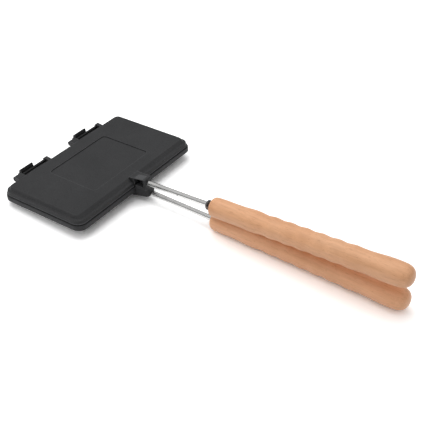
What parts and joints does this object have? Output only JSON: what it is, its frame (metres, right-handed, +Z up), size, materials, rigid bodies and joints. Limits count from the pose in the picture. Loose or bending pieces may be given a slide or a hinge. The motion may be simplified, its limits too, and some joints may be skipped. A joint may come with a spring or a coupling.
{
  "type": "campfire waffle iron",
  "caption": "Long-handled campfire waffle iron: hinged cast iron plates with waffle grids, steel rods, turned wooden grips and a wire latch that holds it closed.",
  "frame": {"origin": "on the ground plane, under the middle of the closed iron's outline", "axes": "+X from the hinge towards the grips, +Z up, +Y along the long side of the castings, to the left of someone who looks from the hinge towards the grips"},
  "size_m": [0.5636, 0.242, 0.0735],
  "materials": {
    "cast_iron": "as cast, seasoned, dark and slightly rough",
    "rod_steel": "bright drawn",
    "dark_steel": "darkened",
    "fastener_steel": "blackened",
    "insert_steel": "turned",
    "latch_steel": "darkened wire",
    "beech": "turned and lightly lacquered"
  },
  "bodies": {
    "lower_half": {"lower_plate": "cast_iron", "lower_rod": "rod_steel", "lower_rod_nut": "fastener_steel", "lower_lock_washer": "fastener_steel", "lower_handle": "beech", "lower_handle_insert": "insert_steel"},
    "upper_half": {"upper_plate": "cast_iron", "hinge_pin_left": "dark_steel", "hinge_pin_right": "dark_steel", "upper_rod": "rod_steel", "rod_stop_pin": "rod_steel", "upper_rod_nut": "fastener_steel", "upper_lock_washer": "fastener_steel", "upper_handle": "beech", "upper_handle_insert": "insert_steel"},
    "latch": {"latch_hook": "latch_steel"}
  },
  "joints": [
    {"name": "opening_hinge", "type": "hinge", "parent": "lower_half", "child": "upper_half", "pos_m": [-0.2738, 0, 0.01895], "axis": [0, -1, 0], "range_deg": [0, 138]},
    {"name": "latch_swing", "type": "hinge", "parent": "upper_half", "child": "latch", "pos_m": [-0.12386, -0.00314, 0.03124], "axis": [0.9975, 0, 0.0701], "range_deg": [-15.5, 180]}
  ]
}
